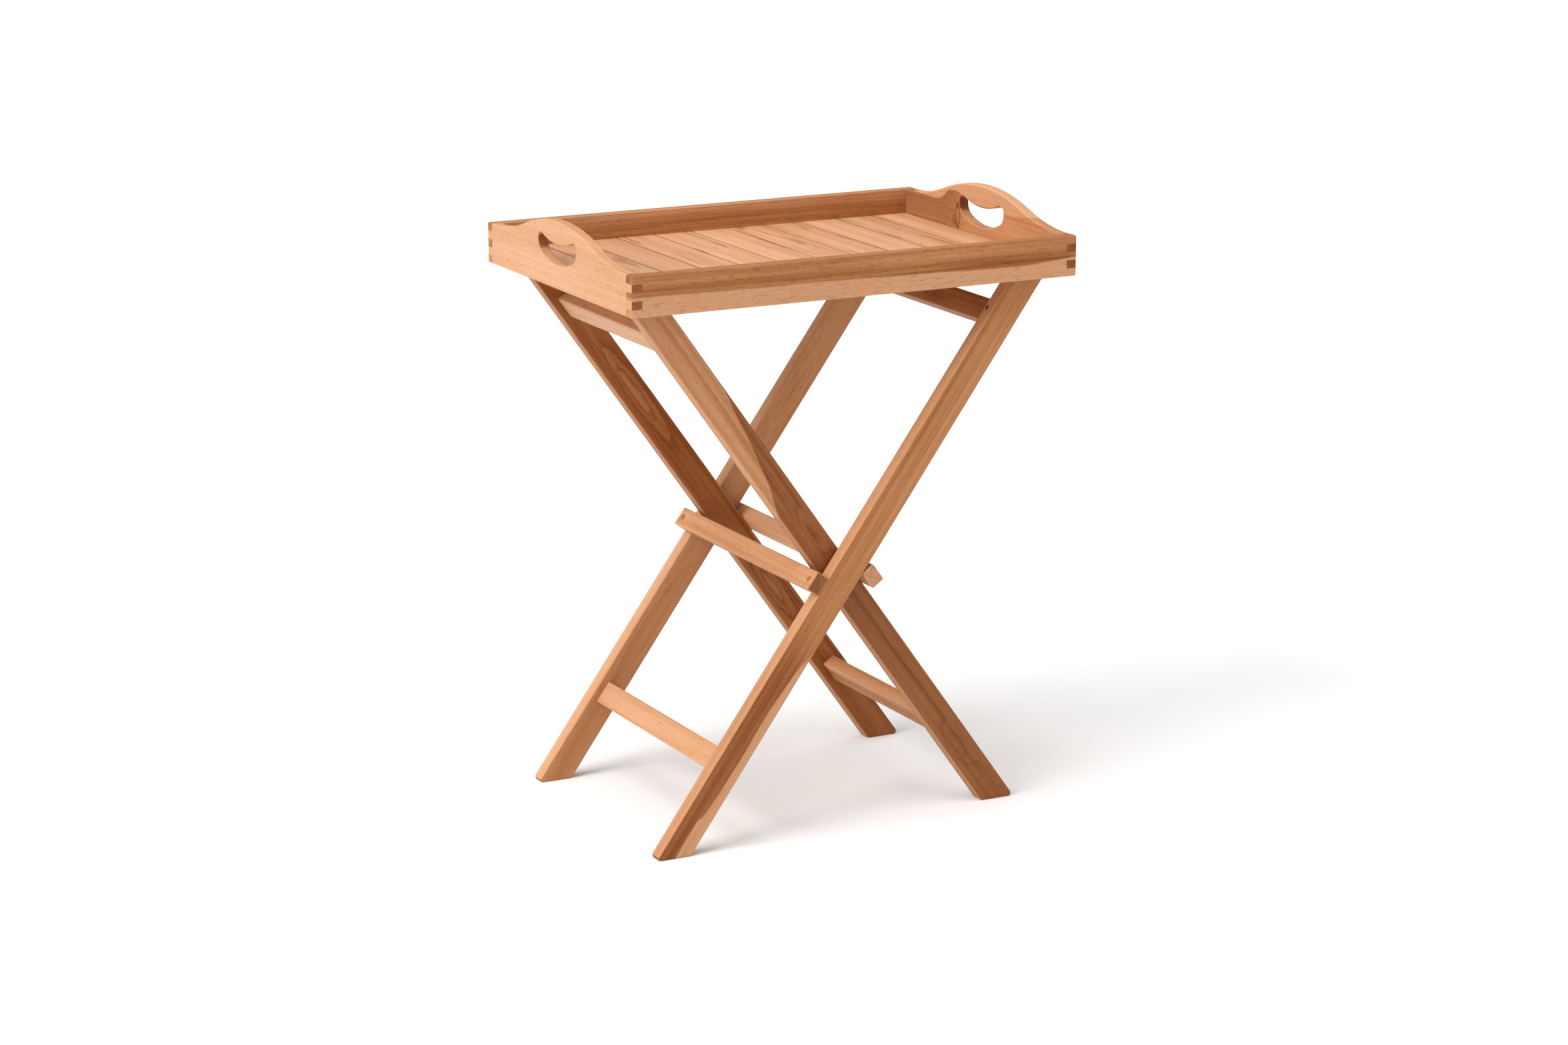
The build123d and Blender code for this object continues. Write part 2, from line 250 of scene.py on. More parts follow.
@cache
def grain_group() -> Tree:
    """Builds the teak figure: rings round a pith, streaks, fibres, pores and end grain.

    Returns:
        The shader node group.
    """
    w, i, out = open_group(
        "teak grain",
        "ShaderNodeTree",
        [
            ("Place", PLACE, None), ("Normal", PLACE, None), ("Pith", PLACE, None),
            ("Ring", NUMBER, 0.006), ("Wobble", NUMBER, 0.01), ("Warp", NUMBER, 0.0),
            ("Pale", PAINT, None), ("Body", PAINT, None), ("Deep", PAINT, None),
            ("Tone", NUMBER, 0.4), ("Bands", NUMBER, 0.5), ("Lines", NUMBER, 0.5),
            ("Streaks", NUMBER, 0.5), ("Pores", NUMBER, 0.5), ("Ends", NUMBER, 1.0),
            ("Seed", NUMBER, 0.0), ("Sap", NUMBER, 0.0), ("Heart", NUMBER, 0.0),
        ],
        [("Color", PAINT), ("Height", NUMBER), ("Roughness", NUMBER)],
    )
    # a different place in the noise for each board
    seed = w.scaled((3.1, 7.7, 1.3), i["Seed"])

    def texture(grain: Grain, detail: float, rough: float) -> Node:
        """Reads noise at the place, stretched along the grain and shifted by the seed."""
        scaled = w.vector("MULTIPLY", i["Place"], grain.scale)
        return w.noise(w.vector("ADD", scaled.outputs[0], seed).outputs[0], detail, rough)

    # rings round the pith, bent along the board
    drift = texture(Grain.DRIFT, 2.0, 0.45)
    drift = w.vector("SUBTRACT", drift.outputs["Color"], (0.5, 0.5, 0.5))
    place = w.vector("ADD", i["Place"], w.scaled(drift.outputs[0], i["Wobble"]))
    place = w.vector("SUBTRACT", place.outputs[0], i["Pith"])
    across = w.vector("MULTIPLY", place.outputs[0], (0.0, 1.0, 1.0))
    radius = w.math("ADD", w.vector("LENGTH", across.outputs[0]).outputs["Value"], i["Warp"])
    phase = w.math("ADD", w.math("DIVIDE", radius, i["Ring"]), w.math("MULTIPLY", i["Seed"], 5.3))
    broad = w.math("SUBTRACT", w.hum(w.math("MULTIPLY", phase, 0.31), 2.0), 0.5)
    bent = w.math("ADD", phase, w.hum(w.math("MULTIPLY", phase, 0.47)))
    year = w.math("FRACT", bent)
    ended = w.math("SUBTRACT", 1.0, w.step(year, 0.95, 1.0))
    late = w.math("MULTIPLY", w.step(year, 0.45, 0.93), ended)
    vigour = w.hum(w.math("FLOOR", bent))
    late = w.math("MULTIPLY", late, w.step(vigour, 0.25, 0.75))

    # streaks, fibres and clouds, summed with the rings into one tone
    streak = w.math("SUBTRACT", texture(Grain.STREAK, 3.0, 0.55).outputs[0], 0.5)
    fibre = w.math("SUBTRACT", texture(Grain.FIBRE, 3.0, 0.6).outputs[0], 0.5)
    cloud = w.math("SUBTRACT", texture(Grain.CLOUD, 2.0, 0.5).outputs[0], 0.5)
    tone = w.math("MULTIPLY_ADD", broad, w.math("MULTIPLY", i["Bands"], 1.9), i["Tone"])
    tone = w.math("MULTIPLY_ADD", late, w.math("MULTIPLY", i["Lines"], 0.5), tone)
    tone = w.math("MULTIPLY_ADD", streak, i["Streaks"], tone)
    tone = w.math("MULTIPLY_ADD", fibre, 0.34, tone)
    tone = w.math("MULTIPLY_ADD", cloud, 0.30, tone, clamp=True)

    # the tone picks the colour; sapwood stays pale and heartwood dark, and the sapwood input also
    # carries painted light on the legs' lit narrow faces
    lower = w.blend(w.math("MULTIPLY", tone, 2.0, clamp=True), i["Pale"], i["Body"])
    upper = w.math("MULTIPLY_ADD", tone, 2.0, -1.0, clamp=True)
    colour = w.blend(upper, lower, i["Deep"])
    sappy = w.blend(w.math("MULTIPLY", tone, 0.55), i["Pale"], i["Body"])
    colour = w.blend(i["Sap"], colour, sappy)
    lit = w.blend(0.30, i["Deep"], i["Body"])
    figure = w.math("MULTIPLY_ADD", w.math("SUBTRACT", tone, i["Tone"]), 1.9, 0.42, clamp=True)
    dark = w.blend(figure, lit, w.blend(1.0, i["Deep"], (0.60, 0.52, 0.45), "MULTIPLY"))
    colour = w.blend(i["Heart"], colour, w.blend(1.0, dark, (1.0, 0.93, 0.74), "MULTIPLY"))

    # pores along the grain, and dots where it is cut across
    grit = texture(Grain.PORE, 1.0, 0.5).outputs[0]
    early = w.math("MULTIPLY_ADD", w.step(year, 0.0, 0.6), -0.6, 1.0)
    pore = w.math("MULTIPLY", w.step(grit, 0.60, 0.70), early)
    dash = w.step(texture(Grain.DASH, 1.0, 0.5).outputs[0], 0.58, 0.72)
    pore = w.math("MULTIPLY", w.math("MAXIMUM", pore, w.math("MULTIPLY", dash, 0.75)), i["Pores"])
    dots = w.noise(w.scaled(i["Place"], END_DOTS), 1.0, 0.5)
    end = w.step(w.math("ABSOLUTE", w.split(i["Normal"])[0]), 0.62, 0.9)
    colour = w.darken(w.math("MULTIPLY", pore, 0.75), colour, (0.55, 0.45, 0.38))
    dotted = w.blend(w.step(dots.outputs[0], 0.55, 0.68), (0.46, 0.33, 0.21), (0.28, 0.18, 0.10))
    colour = w.darken(w.math("MULTIPLY", end, i["Ends"]), colour, dotted)

    # relief and roughness follow the fibres, the rings and the pores
    height = w.math("MULTIPLY_ADD", fibre, 0.5, w.math("MULTIPLY", late, 0.35))
    height = w.math("MULTIPLY_ADD", pore, -1.0, height)
    rough = w.math("MULTIPLY_ADD", fibre, 0.16, 0.52)
    rough = w.math("MULTIPLY_ADD", late, -0.07, rough)
    rough = w.math("MULTIPLY_ADD", end, 0.2, rough)
    rough = w.math("MULTIPLY_ADD", pore, 0.2, rough)
    w.feed(out.inputs["Color"], colour)
    w.feed(out.inputs["Height"], height)
    w.feed(out.inputs["Roughness"], rough)
    return w.tree


@cache
def wear_group() -> Tree:
    """Builds the rubbed arrises of a squared board.

    Returns:
        The shader node group.
    """
    w, i, out = open_group(
        "rubbed arris",
        "ShaderNodeTree",
        [("Place", PLACE, None), ("Half", PLACE, None), ("Width", NUMBER, 0.002)],
        [("Wear", NUMBER)],
    )
    inset = w.vector("SUBTRACT", i["Half"], w.vector("ABSOLUTE", i["Place"]).outputs[0])
    _, across, through = w.split(inset.outputs[0])
    near = w.math("MAXIMUM", across, through)
    scaled = w.vector("MULTIPLY", i["Place"], Grain.RUBBING.scale)
    patchy = w.noise(scaled.outputs[0], 3.0, 0.6).outputs[0]
    reach = w.math("MULTIPLY", i["Width"], w.math("MULTIPLY_ADD", patchy, 1.6, 0.2))
    sound = w.step(near, w.math("MULTIPLY", reach, 0.3), reach)
    w.feed(out.inputs["Wear"], w.math("SUBTRACT", 1.0, sound))
    return w.tree


@cache
def knot_group() -> Tree:
    """Builds a small knot: the rings bend round it and its heart is dark.

    Returns:
        The shader node group.
    """
    w, i, out = open_group(
        "knot",
        "ShaderNodeTree",
        [
            ("Place", PLACE, None), ("Centre", PLACE, None), ("Size", PLACE, (0.03, 0.01, 0.05)),
            ("Pull", NUMBER, 0.01),
        ],
        [("Warp", NUMBER), ("Core", NUMBER), ("Outline", NUMBER)],
    )
    away = w.vector("SUBTRACT", i["Place"], i["Centre"])
    scaled = w.vector("DIVIDE", away.outputs[0], i["Size"])
    rough = w.noise(w.scaled(i["Place"], KNOT_GRIT), 2.0, 0.5)
    reach = w.vector("LENGTH", scaled.outputs[0]).outputs["Value"]
    reach = w.math("MULTIPLY_ADD", w.math("SUBTRACT", rough.outputs[0], 0.5), 0.35, reach)
    swell = w.math("EXPONENT", w.math("MULTIPLY", w.math("MULTIPLY", reach, reach), -1.0))
    w.feed(out.inputs["Warp"], w.math("MULTIPLY", swell, i["Pull"]))
    w.feed(out.inputs["Core"], w.math("SUBTRACT", 1.0, w.step(reach, 0.16, 0.34)))
    ring = w.math("ABSOLUTE", w.math("SUBTRACT", reach, 0.42))
    w.feed(out.inputs["Outline"], w.math("SUBTRACT", 1.0, w.step(ring, 0.03, 0.13)))
    return w.tree


# ---- finishes ------------------------------------------------------------------------


@dataclass(frozen=True)
class Knot:
    """One knot in a board, in the board's own coordinates.

    Attributes:
        centre, size: its middle, and its reach along, through and across the board.
        pull: how far the rings bend round it.
        core, rim: how dark its middle and its outline are.
    """

    centre: Triple
    size: Triple = (0.03, 0.010, 0.05)
    pull: float = 0.012
    core: float = 0.7
    rim: float = 0.5


@dataclass(frozen=True)
class Boundary:
    """A line along a board past which the wood changes.

    Attributes:
        points: places along the board and heights across it, from end to end.
        soft, strength: half the width of the change, and how strong it is.
        upward: whether it is the wood above the line that changes.
        fade: where along the board the change starts and where it is full.
        ragged: how far the line strays.
    """

    points: tuple[tuple[float, float], ...]
    soft: float = 0.0015
    strength: float = 0.8
    upward: bool = True
    fade: tuple[float, float] | None = None
    ragged: float = 0.003


@dataclass(frozen=True)
class Teak:
    """Sanded, oiled teak, and how one board was cut from its log.

    Attributes:
        pale, body, deep: the colours from light to dark.
        tone: the board's own place between them, from 0 to 1.
        ring: distance between rings.
        pith: the middle of the log, seen from the board's own middle.
        wobble: how far the rings stray.
        bands, lines, streaks, pores: how strong each shows.
        seed: tells the boards apart.
        bump: strength of the relief.
        wear: how much the arrises are rubbed.
        painted_lit_flank: how much paler one narrow face is painted, as painted light where it faces
            the key light.
        ends: how dark the end grain is.
        tint: multiplies the three colours.
        sap, heart: where the wood is sapwood or heartwood.
        knots: the knots.
    """

    pale: Colour = (0.625, 0.342, 0.190)
    body: Colour = (0.425, 0.177, 0.063)
    deep: Colour = (0.205, 0.048, 0.003)
    tone: float = 0.35
    ring: float = 0.0065
    pith: Triple = (0.0, 0.03, 0.05)
    wobble: float = 0.016
    bands: float = 0.55
    lines: float = 0.5
    streaks: float = 0.5
    pores: float = 0.55
    seed: float = 0.0
    bump: float = 0.35
    wear: float = 0.3
    painted_lit_flank: float = 0.0
    ends: float = 1.0
    tint: Colour = (1.0, 1.0, 1.0)
    sap: Boundary | None = None
    heart: Boundary | None = None
    knots: tuple[Knot, ...] = ()

    def dyed(self, colour: Colour) -> Colour:
        """Gives one of the board's colours with its tint."""
        return tuple(c * t for c, t in zip(colour, self.tint))


@dataclass(frozen=True)
class Metal:
    """A plain turned or pressed metal finish."""

    colour: Colour
    roughness: float
    metallic: float = 1.0


PIN_STEEL = Metal((0.56, 0.56, 0.55), 0.32)
SCREW_BRASS = Metal((0.70, 0.50, 0.22), 0.36)
SPACER = Metal((0.045, 0.045, 0.045), 0.5, 0.0)


def teak_grain(w: Wiring, wood: Teak, places: dict[str, object]) -> Node:
    """Adds the teak figure with one board's settings.

    Args:
        w: the material's wiring.
        wood: the board's finish.
        places: inputs that the board works out for itself, by name.

    Returns:
        The figure's node.
    """
    values = {
        "Pith": wood.pith, "Ring": wood.ring, "Wobble": wood.wobble,
        "Pale": wood.dyed(wood.pale), "Body": wood.dyed(wood.body), "Deep": wood.dyed(wood.deep),
        "Tone": wood.tone, "Bands": wood.bands, "Lines": wood.lines, "Streaks": wood.streaks,
        "Pores": wood.pores, "Ends": wood.ends, "Seed": wood.seed,
    }
    return w.add("ShaderNodeGroup", values | places, node_tree=grain_group())


def oil(w: Wiring, wood: Teak, grain: Node, colour: Socket, rough: Socket) -> None:
    """Feeds a wood's colour, gloss and relief to the material's shader.

    Args:
        w: the material's wiring.
        wood: the board's finish.
        grain: the figure's node.
        colour: the final colour.
        rough: the final roughness.
    """
    shader = w.tree.nodes["Principled BSDF"]
    shader.inputs["Specular IOR Level"].default_value = WOOD_SHEEN
    relief = {"Height": grain.outputs["Height"], "Strength": wood.bump, "Distance": WOOD_RELIEF}
    w.feed(shader.inputs["Base Color"], colour)
    w.feed(shader.inputs["Roughness"], rough)
    w.feed(shader.inputs["Normal"], w.add("ShaderNodeBump", relief).outputs[0])


class Dresser:
    """Makes materials and puts them on pieces."""

    def teak(self, name: str, wood: Teak, run: Run, centre: Vector, half: Triple) -> Material:
        """Makes one board's wood.

        Args:
            name: the board's name.
            wood: its finish.
            run: the way its grain runs.
            centre: the board's centre in the frame.
            half: half its sizes along the turned axes.

        Returns:
            The material.
        """
        made, w, _ = open_material(f"{name}_teak")
        turn = Euler(run.value)
        shift = -(turn.to_matrix() @ centre)
        source = w.add("ShaderNodeTexCoord")
        inputs = {"Vector": source.outputs["Object"], "Location": shift, "Rotation": turn}
        here = w.add("ShaderNodeMapping", inputs).outputs[0]
        inputs = {"Vector": source.outputs["Normal"], "Rotation": turn}
        normal = w.add("ShaderNodeMapping", inputs, vector_type="NORMAL").outputs[0]
        grain = teak_grain(w, wood, {"Place": here, "Normal": normal})
        # painted light: the narrow face toward the key light is painted paler and fed in with the
        # sapwood
        side = w.step(w.split(here)[2], half[2] - PAINTED_LIT_FLANK_SKIN, half[2] - PAINTED_LIT_FLANK_SKIN / 6)
        side = w.math("MULTIPLY", side, wood.painted_lit_flank)
        sap = w.math("MAXIMUM", self.side_of(w, here, wood.sap), side) if wood.sap else side
        w.feed(grain.inputs["Sap"], sap)
        if wood.heart:
            inside = w.math("SUBTRACT", 1.0, side)
            w.feed(grain.inputs["Heart"], w.math("MULTIPLY", self.side_of(w, here, wood.heart), inside))
        colour = grain.outputs["Color"]
        warp: object = 0.0
        for knot in wood.knots:
            values = {"Place": here, "Centre": knot.centre, "Size": knot.size, "Pull": knot.pull}
            node = w.add("ShaderNodeGroup", values, node_tree=knot_group())
            warp = w.math("ADD", warp, node.outputs["Warp"])
            core = w.math("MULTIPLY", node.outputs["Core"], knot.core)
            dark = w.math("MAXIMUM", core, w.math("MULTIPLY", node.outputs["Outline"], knot.rim))
            colour = w.darken(dark, colour, KNOT_SHADE)
        w.feed(grain.inputs["Warp"], warp)
        values = {"Place": here, "Half": half, "Width": WEAR_WIDTH}
        rubbed = w.add("ShaderNodeGroup", values, node_tree=wear_group())
        worn = w.math("MULTIPLY", rubbed.outputs["Wear"], wood.wear)
        colour = w.blend(worn, colour, w.blend(0.6, colour, wood.dyed(wood.pale)))
        rough = w.math("MULTIPLY_ADD", worn, WEAR_ROUGHNESS, grain.outputs["Roughness"])
        oil(w, wood, grain, colour, rough)
        return made

    def side_of(self, w: Wiring, here: Socket, edge: Boundary) -> Socket:
        """Tells which side of a boundary the surface is on.

        Args:
            w: the material's wiring.
            here: the board's coordinates.
            edge: the boundary.

        Returns:
            A number from 0 to the boundary's strength.
        """
        along, _, across = w.split(here)
        places, heights = zip(*edge.points)
        low, high, floor = min(places), max(places), min(heights)
        span = max(heights) - floor
        share = w.add("ShaderNodeMapRange", {"Value": along, "From Min": low, "From Max": high})
        curve = w.add("ShaderNodeFloatCurve", {"Value": share.outputs["Result"]})
        points = curve.mapping.curves[0].points
        for place, height in edge.points:
            spot = ((place - low) / (high - low), (height - floor) / span)
            if spot[0] in (0.0, 1.0):
                points[0 if spot[0] == 0.0 else -1].location = spot
            else:
                points.new(*spot)
        curve.mapping.update()
        line = w.math("MULTIPLY_ADD", curve.outputs[0], span, floor)
        scaled = w.vector("MULTIPLY", here, Grain.BORDER.scale)
        ragged = w.noise(scaled.outputs[0], 3.0, 0.6).outputs[0]
        line = w.math("MULTIPLY_ADD", w.math("SUBTRACT", ragged, 0.5), edge.ragged, line)
        over = w.math("SUBTRACT", across, line) if edge.upward else w.math("SUBTRACT", line, across)
        side = w.math("MULTIPLY", w.step(over, -edge.soft, edge.soft), edge.strength)
        if edge.fade:
            side = w.math("MULTIPLY", side, w.step(along, *edge.fade))
        return side

    def metal(self, name: str, finish: Metal) -> Material:
        """Makes a metal or plastic finish with fine turning marks.

        Args:
            name: the material's name.
            finish: its colour and gloss.

        Returns:
            The material.
        """
        made, w, shader = open_material(name)
        shader.inputs["Metallic"].default_value = finish.metallic
        source = w.add("ShaderNodeTexCoord")
        drawn = w.vector("MULTIPLY", source.outputs["Object"], METAL_MARKS)
        marks = w.noise(drawn.outputs[0], 3.0, 0.6)
        dull = tuple(c * 0.72 for c in finish.colour)
        w.feed(shader.inputs["Base Color"], w.blend(marks.outputs[0], finish.colour, dull))
        rough = w.math("MULTIPLY_ADD", marks.outputs[0], 0.2, finish.roughness - 0.1)
        w.feed(shader.inputs["Roughness"], rough)
        relief = {"Height": marks.outputs[0], "Strength": 0.12, "Distance": METAL_RELIEF}
        w.feed(shader.inputs["Normal"], w.add("ShaderNodeBump", relief).outputs[0])
        return made

    def put(self, piece: bpy.types.Object, material: Material) -> None:
        """Puts a material on every slot of a piece.

        Args:
            piece: the piece.
            material: the material.
        """
        if not piece.material_slots:
            piece.data.materials.append(material)
        for spot in piece.material_slots:
            spot.material = material


# ---- repeated pieces -----------------------------------------------------------------


def grow(name: str, tree: Tree, values: dict[str, object]) -> bpy.types.Object:
    """Runs a Geometry Nodes tree once and keeps the result as a plain mesh.

    Args:
        name: the new piece's name.
        tree: the tree.
        values: the tree's inputs by name.

    Returns:
        The piece, at the origin.
    """
    seed = bpy.data.objects.new(f"{name}_seed", bpy.data.meshes.new(f"{name}_seed"))
    bpy.context.scene.collection.objects.link(seed)
    modifier = seed.modifiers.new(name, "NODES")
    modifier.node_group = tree
    for item in tree.interface.items_tree:
        if item.item_type == "SOCKET" and item.in_out == "INPUT" and item.name in values:
            modifier[item.identifier] = values[item.name]
    seed.update_tag()
    bpy.context.view_layer.update()
    graph = bpy.context.evaluated_depsgraph_get()
    shown = seed.evaluated_get(graph)
    mesh = bpy.data.meshes.new_from_object(shown, preserve_all_data_layers=True, depsgraph=graph)
    mesh.name = name
    seed.modifiers.remove(modifier)
    bpy.data.objects.remove(seed)
    piece = bpy.data.objects.new(name, mesh)
    bpy.context.scene.collection.objects.link(piece)
    return piece


@dataclass
class SlatFloor:
    """The tray's floor: slats laid side by side, with softened arrises."""

    nodes: tuple[str, ...]
    arris: float = 0.0009
    seam: float = 0.0016
    # painted shade: how dark the seams between the slats are painted
    painted_seam_shade: float = 0.8
    seed: int = 5
    wood: Teak = Teak()

    def tree(self) -> Tree:
        """Builds the tree that lays the slats.

        Returns:
            The Geometry Nodes tree.
        """
        w, i, out = open_group(
            "slat floor",
            "GeometryNodeTree",
            [
                ("Count", WHOLE, 11), ("Pitch", NUMBER, 0.052), ("Width", NUMBER, 0.05),
                ("Length", NUMBER, 0.4), ("Thickness", NUMBER, 0.01), ("Arris", NUMBER, 0.001),
                ("Middle", PLACE, None), ("Seed", WHOLE, 3), ("Finish", MATTER, None),
            ],
            [("Geometry", SHAPE)],
        )
        gaps = w.math("SUBTRACT", i["Count"], 1.0)
        first = w.math("MULTIPLY", gaps, w.math("MULTIPLY", i["Pitch"], -0.5))
        start = w.vector("ADD", i["Middle"], w.join(first, 0.0, 0.0)).outputs[0]
        row = w.add(
            "GeometryNodeMeshLine",
            {"Count": i["Count"], "Start Location": start, "Offset": w.join(i["Pitch"], 0.0, 0.0)},
            mode="OFFSET",
        )
        outline = w.add(
            "GeometryNodeCurvePrimitiveQuadrilateral", {"Width": i["Width"], "Height": i["Thickness"]}
        )
        soft = w.add(
            "GeometryNodeFilletCurve",
            {"Curve": outline.outputs[0], "Radius": i["Arris"], "Count": 3},
            mode="POLY",
        )
        half = w.math("MULTIPLY", i["Length"], 0.5)
        run = w.add(
            "GeometryNodeCurvePrimitiveLine",
            {"Start": w.join(0.0, w.math("MULTIPLY", half, -1.0), 0.0), "End": w.join(0.0, half, 0.0)},
        )
        slat = w.add(
            "GeometryNodeCurveToMesh",
            {"Curve": run.outputs[0], "Profile Curve": soft.outputs[0], "Fill Caps": True},
        )
        inputs = {"Points": row.outputs[0], "Instance": slat.outputs[0]}
        laid = w.add("GeometryNodeInstanceOnPoints", inputs)
        spot = w.add("GeometryNodeInputPosition")
        middle = w.add(
            "GeometryNodeStoreNamedAttribute",
            {"Geometry": laid.outputs[0], "Name": "middle", "Value": spot.outputs[0]},
            data_type="FLOAT_VECTOR", domain="INSTANCE",
        )
        chance = w.add("FunctionNodeRandomValue", data_type="FLOAT")
        w.feed(next(s for s in chance.inputs if s.name == "Seed"), i["Seed"])
        cut = w.add(
            "GeometryNodeStoreNamedAttribute",
            {
                "Geometry": middle.outputs[0], "Name": "cut",
                "Value": next(s for s in chance.outputs if s.enabled),
            },
            data_type="FLOAT", domain="INSTANCE",
        )
        real = w.add("GeometryNodeRealizeInstances", {"Geometry": cut.outputs[0]})
        done = w.add("GeometryNodeSetMaterial", {"Geometry": real.outputs[0], "Material": i["Finish"]})
        w.feed(out.inputs["Geometry"], done.outputs[0])
        return w.tree

    def finish(self, half: float) -> Material:
        """Makes the floor's wood, in which each slat reads its own cut and middle.

        Args:
            half: half a slat's width.

        Returns:
            The material.
        """
        made, w, _ = open_material("slat_floor_teak")
        source = w.add("ShaderNodeTexCoord")
        middle = w.add("ShaderNodeAttribute", attribute_name="middle").outputs["Vector"]
        cut = w.add("ShaderNodeAttribute", attribute_name="cut").outputs["Fac"]
        local = w.vector("SUBTRACT", source.outputs["Object"], middle).outputs[0]
        turn = Euler(Run.DEPTH.value)
        here = w.add("ShaderNodeMapping", {"Vector": local, "Rotation": turn}).outputs[0]
        inputs = {"Vector": source.outputs["Normal"], "Rotation": turn}
        normal = w.add("ShaderNodeMapping", inputs, vector_type="NORMAL").outputs[0]

        def own(spread: float) -> Socket:
            """Draws another number between 0 and 1 from a slat's cut."""
            return w.math("FRACT", w.math("MULTIPLY", cut, spread))

        aside = w.math("MULTIPLY_ADD", own(17.3), 0.12, -0.06)
        pith = w.join(0.0, aside, w.math("MULTIPLY_ADD", cut, -0.04, -0.012))
        tone = own(41.7)
        # brown smears on some of the slats
        shift = w.join(w.math("MULTIPLY", cut, 90.0), 0.0, 0.0)
        smear_place = w.vector("MULTIPLY_ADD", here, Grain.SMEAR.scale, shift)
        smear = w.step(w.noise(smear_place.outputs[0], 3.0, 0.55, 0.9).outputs[0], 0.56, 0.68)
        smear = w.math("MULTIPLY", smear, w.step(own(7.9), 0.30, 0.60))
        places = {
            "Place": here, "Normal": normal, "Pith": pith, "Seed": w.math("MULTIPLY", cut, 57.0),
            "Heart": w.math("MULTIPLY", smear, 0.55),
            "Sap": w.math("MULTIPLY", w.step(tone, 0.45, 0.9), 0.45),
        }
        grain = teak_grain(w, self.wood, places)
        shade = w.blend(tone, (1.10, 1.10, 1.10), (0.92, 0.89, 0.87))
        colour = w.blend(1.0, grain.outputs["Color"], shade, "MULTIPLY")
        # painted shade darkening the seams between the slats
        seam = w.step(w.math("ABSOLUTE", w.split(here)[1]), half - self.seam, half - self.seam / 4)
        colour = w.darken(w.math("MULTIPLY", seam, self.painted_seam_shade), colour, SEAM_SHADE)
        oil(w, self.wood, grain, colour, grain.outputs["Roughness"])
        return made

    def build(self) -> bpy.types.Object:
        """Lays the floor in the place of the slats it stands for.

        Returns:
            The floor.
        """
        boxes = [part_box(node) for node in self.nodes]
        low, high = Vector(boxes[0][0]), Vector(boxes[0][1])
        last_low, last_high = Vector(boxes[-1][0]), Vector(boxes[-1][1])
        width = high.x - low.x
        values = {
            "Count": len(self.nodes), "Pitch": (last_low.x - low.x) / (len(self.nodes) - 1),
            "Width": width, "Length": high.y - low.y, "Thickness": high.z - low.z, "Arris": self.arris,
            "Middle": tuple((low + last_high) / 2), "Seed": self.seed, "Finish": self.finish(width / 2),
        }
        piece = grow("tray_slats", self.tree(), values)
        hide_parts(*self.nodes)
        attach(piece, "tray")
        log.info("tray_slats laid: %d slats", len(self.nodes))
        return piece


